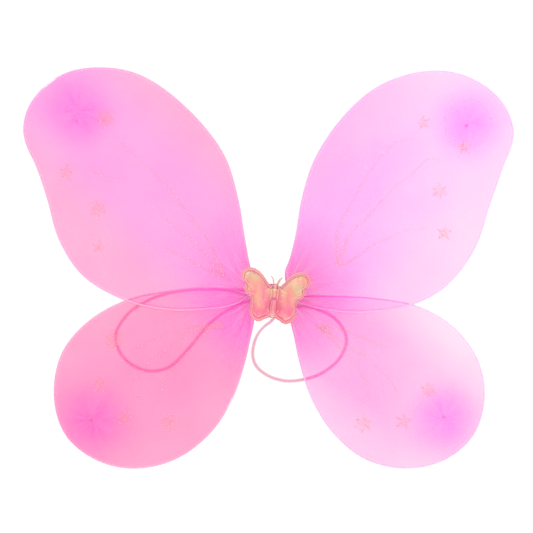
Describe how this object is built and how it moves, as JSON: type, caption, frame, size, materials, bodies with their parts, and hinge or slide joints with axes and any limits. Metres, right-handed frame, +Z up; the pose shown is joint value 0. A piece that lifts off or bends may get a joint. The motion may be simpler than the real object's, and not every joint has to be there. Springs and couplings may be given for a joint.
{
  "type": "fairy wings",
  "caption": "Dress-up fairy wings: sheer nylon lobes on bent wire loops, bound at a padded butterfly, with elastic arm loops at the back.",
  "frame": {"origin": "centre of the felt back patch's rear face, which rests between the wearer's shoulder blades", "axes": "+X to the right seen from the butterfly side, +Y out of the patch towards the wearer, +Z up"},
  "size_m": [0.5396, 0.0299, 0.4416],
  "materials": {
    "wire": "pink-coated craft wire, satin",
    "nylon": "sheer stretched nylon, finely pleated, slight sheen, glitter print",
    "thread": "knotted nylon and polyester thread",
    "tape": "wound fabric tape",
    "felt": "soft felt",
    "elastic": "flat woven elastic, matt",
    "film": "iridescent embossed film, glossy",
    "foam": "soft polyester wadding",
    "glue": "set hot-melt glue, smooth"
  },
  "bodies": {
    "centre": {"back_patch": "felt", "centre_binding": "tape", "centre_wire_twist": "wire", "butterfly_back_film": "film", "butterfly_front_film": "film", "butterfly_foam_left": "foam", "butterfly_foam_right": "foam", "butterfly_foam_body": "foam", "butterfly_antenna_left": "film", "butterfly_antenna_right": "film", "butterfly_glue_pad": "glue"},
    "left_root": {"left_root_wrap": "tape"},
    "right_root": {"right_root_wrap": "tape"},
    "upper_left": {"upper_left_wire": "wire", "upper_left_nylon": "nylon", "upper_left_root_tie": "thread", "upper_left_tip_knot": "thread"},
    "upper_right": {"upper_right_wire": "wire", "upper_right_nylon": "nylon", "upper_right_root_tie": "thread", "upper_right_tip_knot": "thread"},
    "lower_left": {"lower_left_wire": "wire", "lower_left_nylon": "nylon", "lower_left_root_tie": "thread", "lower_left_tip_knot": "thread"},
    "lower_right": {"lower_right_wire": "wire", "lower_right_nylon": "nylon", "lower_right_root_tie": "thread", "lower_right_tip_knot": "thread"},
    "strap_left": {"left_strap": "elastic"},
    "strap_right": {"right_strap": "elastic"}
  },
  "joints": [
    {"name": "left_fold", "type": "hinge", "parent": "centre", "child": "left_root", "pos_m": [-0.011, -0.0063, 0], "axis": [0, 0, 1], "range_deg": [-75, 20]},
    {"name": "right_fold", "type": "hinge", "parent": "centre", "child": "right_root", "pos_m": [0.011, -0.0063, 0], "axis": [0, 0, -1], "range_deg": [-75, 20]},
    {"name": "upper_left_fan", "type": "hinge", "parent": "left_root", "child": "upper_left", "pos_m": [-0.016, -0.0082, 0.0045], "axis": [0, 1, 0], "range_deg": [-8, 8]},
    {"name": "lower_left_fan", "type": "hinge", "parent": "left_root", "child": "lower_left", "pos_m": [-0.016, -0.0044, -0.0045], "axis": [0, 1, 0], "range_deg": [-8, 8]},
    {"name": "upper_right_fan", "type": "hinge", "parent": "right_root", "child": "upper_right", "pos_m": [0.016, -0.0082, 0.0045], "axis": [0, -1, 0], "range_deg": [-8, 8]},
    {"name": "lower_right_fan", "type": "hinge", "parent": "right_root", "child": "lower_right", "pos_m": [0.016, -0.0044, -0.0045], "axis": [0, -1, 0], "range_deg": [-8, 8]},
    {"name": "left_strap_swing", "type": "hinge", "parent": "left_root", "child": "strap_left", "pos_m": [-0.015, -0.0004, 0], "axis": [0, 0, -1], "range_deg": [0, 85]},
    {"name": "right_strap_swing", "type": "hinge", "parent": "right_root", "child": "strap_right", "pos_m": [0.0072, -0.0004, -0.0092], "axis": [0.4695, 0, 0.8829], "range_deg": [0, 75]}
  ]
}
